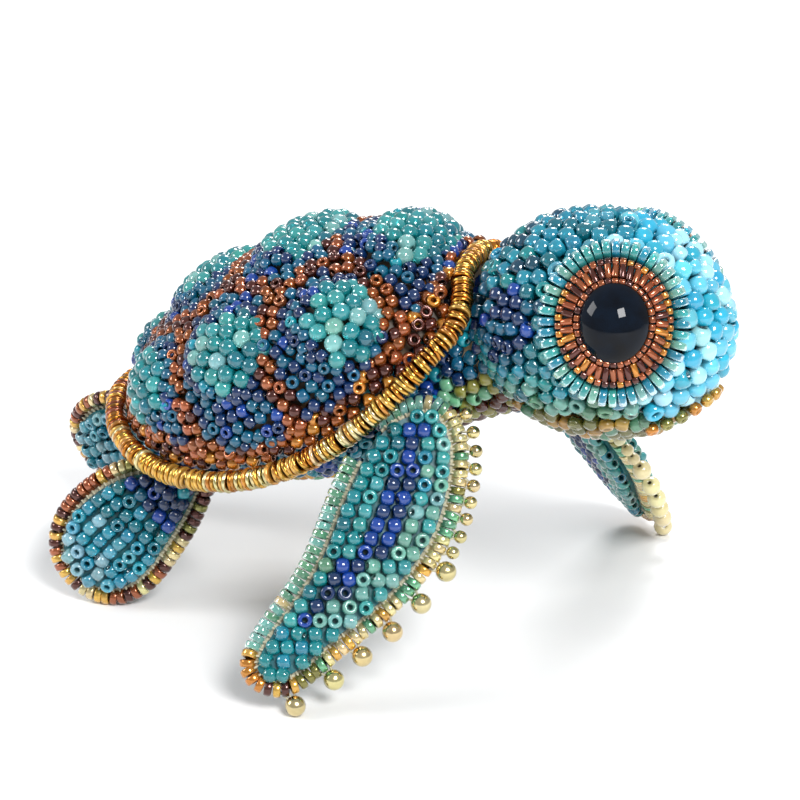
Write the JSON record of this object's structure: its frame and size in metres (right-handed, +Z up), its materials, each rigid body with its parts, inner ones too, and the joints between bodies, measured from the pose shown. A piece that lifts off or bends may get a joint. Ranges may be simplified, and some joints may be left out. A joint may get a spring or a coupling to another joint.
{
  "type": "beaded turtle figure",
  "caption": "Beaded baby sea turtle figure with a scuted domed shell, round head with cabochon eyes and four beaded flippers, standing on its flippers.",
  "frame": {"origin": "on the ground under the middle of the figure's outline", "axes": "+X towards the head, +Z up, the turtle's left side is +Y"},
  "size_m": [0.1064, 0.081, 0.061],
  "materials": {
    "carved_wood": "sanded, pale soft wood",
    "dark_teal_beads": "dark teal and navy glass",
    "beeswax": "warm yellow-brown wax",
    "teal_crystal_beads": "clear teal crystal with navy edges",
    "copper_bezel_beads": "metallic-lined copper glass",
    "black_cabochon": "polished, glossy",
    "mint_disc_beads": "clear pale mint glass",
    "pale_gold_edge_beads": "pale green-gold glass",
    "gold_balls": "bright gold plate",
    "blue_flipper_beads": "teal, navy and mint glass",
    "green_gold_beads": "clear green to olive glass",
    "aqua_beads": "glossy aqua glass",
    "teal_cheek_beads": "teal glass with navy behind the eye",
    "ice_blue_beads": "pearly pale blue glass",
    "gold_ring_beads": "metallic gold-lined glass",
    "olive_plastron_beads": "olive and gold glass",
    "brown_margin_beads": "dark red-brown lustred glass",
    "copper_seam_beads": "copper-lined glass with navy beads",
    "thread": "thin waxed thread"
  },
  "bodies": {
    "root": {"body_core": "carved_wood", "body_side_beads": "dark_teal_beads", "body_wax": "beeswax", "costal_scute_front_left": "teal_crystal_beads", "costal_scute_front_right": "teal_crystal_beads", "costal_scute_middle_left": "teal_crystal_beads", "costal_scute_middle_right": "teal_crystal_beads", "costal_scute_rear_left": "teal_crystal_beads", "costal_scute_rear_right": "teal_crystal_beads", "dowels": "carved_wood", "eye_bezel_left": "copper_bezel_beads", "eye_bezel_right": "copper_bezel_beads", "eye_cabochon_left": "black_cabochon", "eye_cabochon_right": "black_cabochon", "eye_ring_beads_left": "mint_disc_beads", "eye_ring_beads_right": "mint_disc_beads", "flipper_pegs": "carved_wood", "front_flipper_left_core": "carved_wood", "front_flipper_left_edge_beads": "pale_gold_edge_beads", "front_flipper_left_gold_balls": "gold_balls", "front_flipper_left_top_beads": "blue_flipper_beads", "front_flipper_left_under_beads": "blue_flipper_beads", "front_flipper_left_wax": "beeswax", "front_flipper_right_core": "carved_wood", "front_flipper_right_edge_beads": "pale_gold_edge_beads", "front_flipper_right_gold_balls": "gold_balls", "front_flipper_right_top_beads": "blue_flipper_beads", "front_flipper_right_under_beads": "blue_flipper_beads", "front_flipper_right_wax": "beeswax", "head_chin_beads": "green_gold_beads", "head_core": "carved_wood", "head_crown_beads": "aqua_beads", "head_side_beads_left": "teal_cheek_beads", "head_side_beads_right": "teal_cheek_beads", "head_snout_beads": "ice_blue_beads", "head_wax": "beeswax", "mouth_line_beads": "gold_ring_beads", "neck_beads": "dark_teal_beads", "neck_core": "carved_wood", "plastron_beads": "olive_plastron_beads", "rear_flipper_left_core": "carved_wood", "rear_flipper_left_edge_beads": "pale_gold_edge_beads", "rear_flipper_left_top_beads": "blue_flipper_beads", "rear_flipper_left_under_beads": "blue_flipper_beads", "rear_flipper_left_wax": "beeswax", "rear_flipper_right_core": "carved_wood", "rear_flipper_right_edge_beads": "pale_gold_edge_beads", "rear_flipper_right_top_beads": "blue_flipper_beads", "rear_flipper_right_under_beads": "blue_flipper_beads", "rear_flipper_right_wax": "beeswax", "shell_core": "carved_wood", "shell_edge_beads": "gold_ring_beads", "shell_margin_beads": "brown_margin_beads", "shell_seam_beads": "copper_seam_beads", "shell_wax": "beeswax", "shoulder_and_hip_beads": "dark_teal_beads", "vertebral_scute_front": "teal_crystal_beads", "vertebral_scute_middle": "teal_crystal_beads", "vertebral_scute_rear": "teal_crystal_beads", "vertebral_scute_tail": "teal_crystal_beads"}
  },
  "joints": []
}
